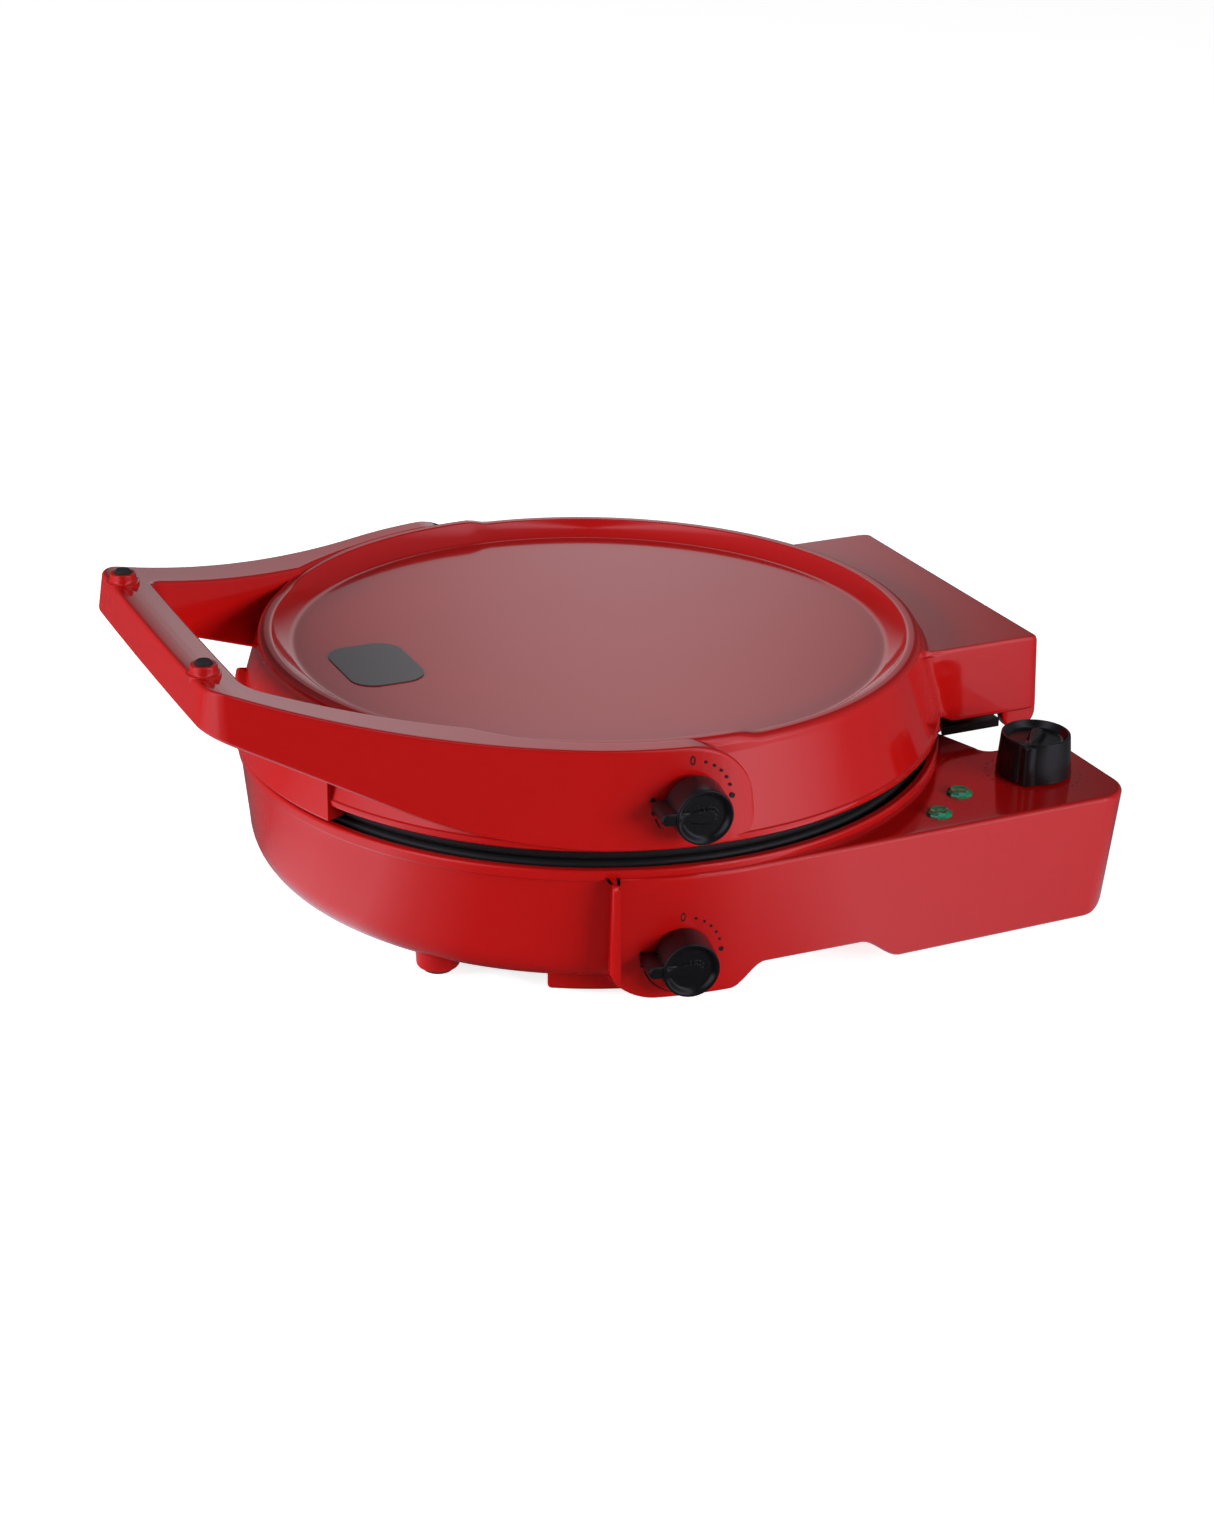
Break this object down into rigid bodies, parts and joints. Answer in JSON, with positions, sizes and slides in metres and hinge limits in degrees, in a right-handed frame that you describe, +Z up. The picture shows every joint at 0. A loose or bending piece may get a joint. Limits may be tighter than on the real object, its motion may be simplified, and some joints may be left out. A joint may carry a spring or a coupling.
{
  "type": "donut maker",
  "caption": "Round countertop donut maker: hinged domed lid with a two-arm handle, ring-mould plates, side thermostat dials and a timer.",
  "frame": {"origin": "middle of the object's box, on the table under its rubber feet", "axes": "+Z up, +Y towards the hinge at the rear, +X towards the dials; the handle is at -Y"},
  "size_m": [0.3664, 0.429, 0.1577],
  "materials": {
    "red_shell": "high gloss, moulded",
    "black_plastic": "satin",
    "plate_coating": "textured non-stick coating on cast aluminium",
    "heater_steel": "dull, heat-tinted",
    "sheet_steel": "plain aluminised sheet",
    "fastener_steel": "zinc plated",
    "foot_rubber": "matt",
    "ceramic_white": "matt",
    "brass": "turned",
    "green_lens": "clear faceted",
    "label_grey": "smooth"
  },
  "bodies": {
    "base": {"base_shell": "red_shell", "base_liner": "black_plastic", "bottom_cover": "black_plastic", "bottom_screws": "fastener_steel", "rubber_feet": "foot_rubber", "lower_plate": "plate_coating", "lower_element": "heater_steel", "lower_reflector": "sheet_steel", "lower_posts": "fastener_steel", "lower_thermostat": "ceramic_white", "timer_mechanism": "ceramic_white", "front_lamp_lens": "green_lens", "rear_lamp_lens": "green_lens", "neon_lamps": "ceramic_white", "terminal_block": "ceramic_white", "thermal_fuse": "fastener_steel", "cord_inlet": "black_plastic", "hinge_rod": "fastener_steel", "hinge_clips": "fastener_steel"},
    "lid": {"lid_shell": "red_shell", "handle": "red_shell", "handle_feet": "foot_rubber", "handle_screws": "fastener_steel", "front_skirt": "red_shell", "rear_cover": "black_plastic", "lid_liner": "black_plastic", "upper_plate": "plate_coating", "upper_element": "heater_steel", "upper_reflector": "sheet_steel", "upper_posts": "fastener_steel", "upper_thermostat": "ceramic_white", "label_plate": "label_grey"},
    "lower_dial": {"lower_dial": "black_plastic", "lower_spindle": "brass"},
    "upper_dial": {"upper_dial": "black_plastic", "upper_spindle": "brass"},
    "timer_knob": {"timer_knob": "black_plastic", "timer_spindle": "brass"}
  },
  "joints": [
    {"name": "lid_hinge", "type": "hinge", "parent": "base", "child": "lid", "pos_m": [-0.00874, 0.2045, 0.076], "axis": [-1, 0, 0], "range_deg": [0, 179]},
    {"name": "upper_dial_turn", "type": "hinge", "parent": "lid", "child": "upper_dial", "pos_m": [0.16114, -0.01841, 0.1015], "axis": [0.9877, -0.1564, 0], "range_deg": [0, 270]},
    {"name": "lower_dial_turn", "type": "hinge", "parent": "base", "child": "lower_dial", "pos_m": [0.16289, -0.023, 0.029], "axis": [0.9836, -0.1805, 0], "range_deg": [0, 270]},
    {"name": "timer_turn", "type": "hinge", "parent": "base", "child": "timer_knob", "pos_m": [0.12526, 0.181, 0.0675], "axis": [0, 0, -1], "range_deg": [0, 300]}
  ]
}
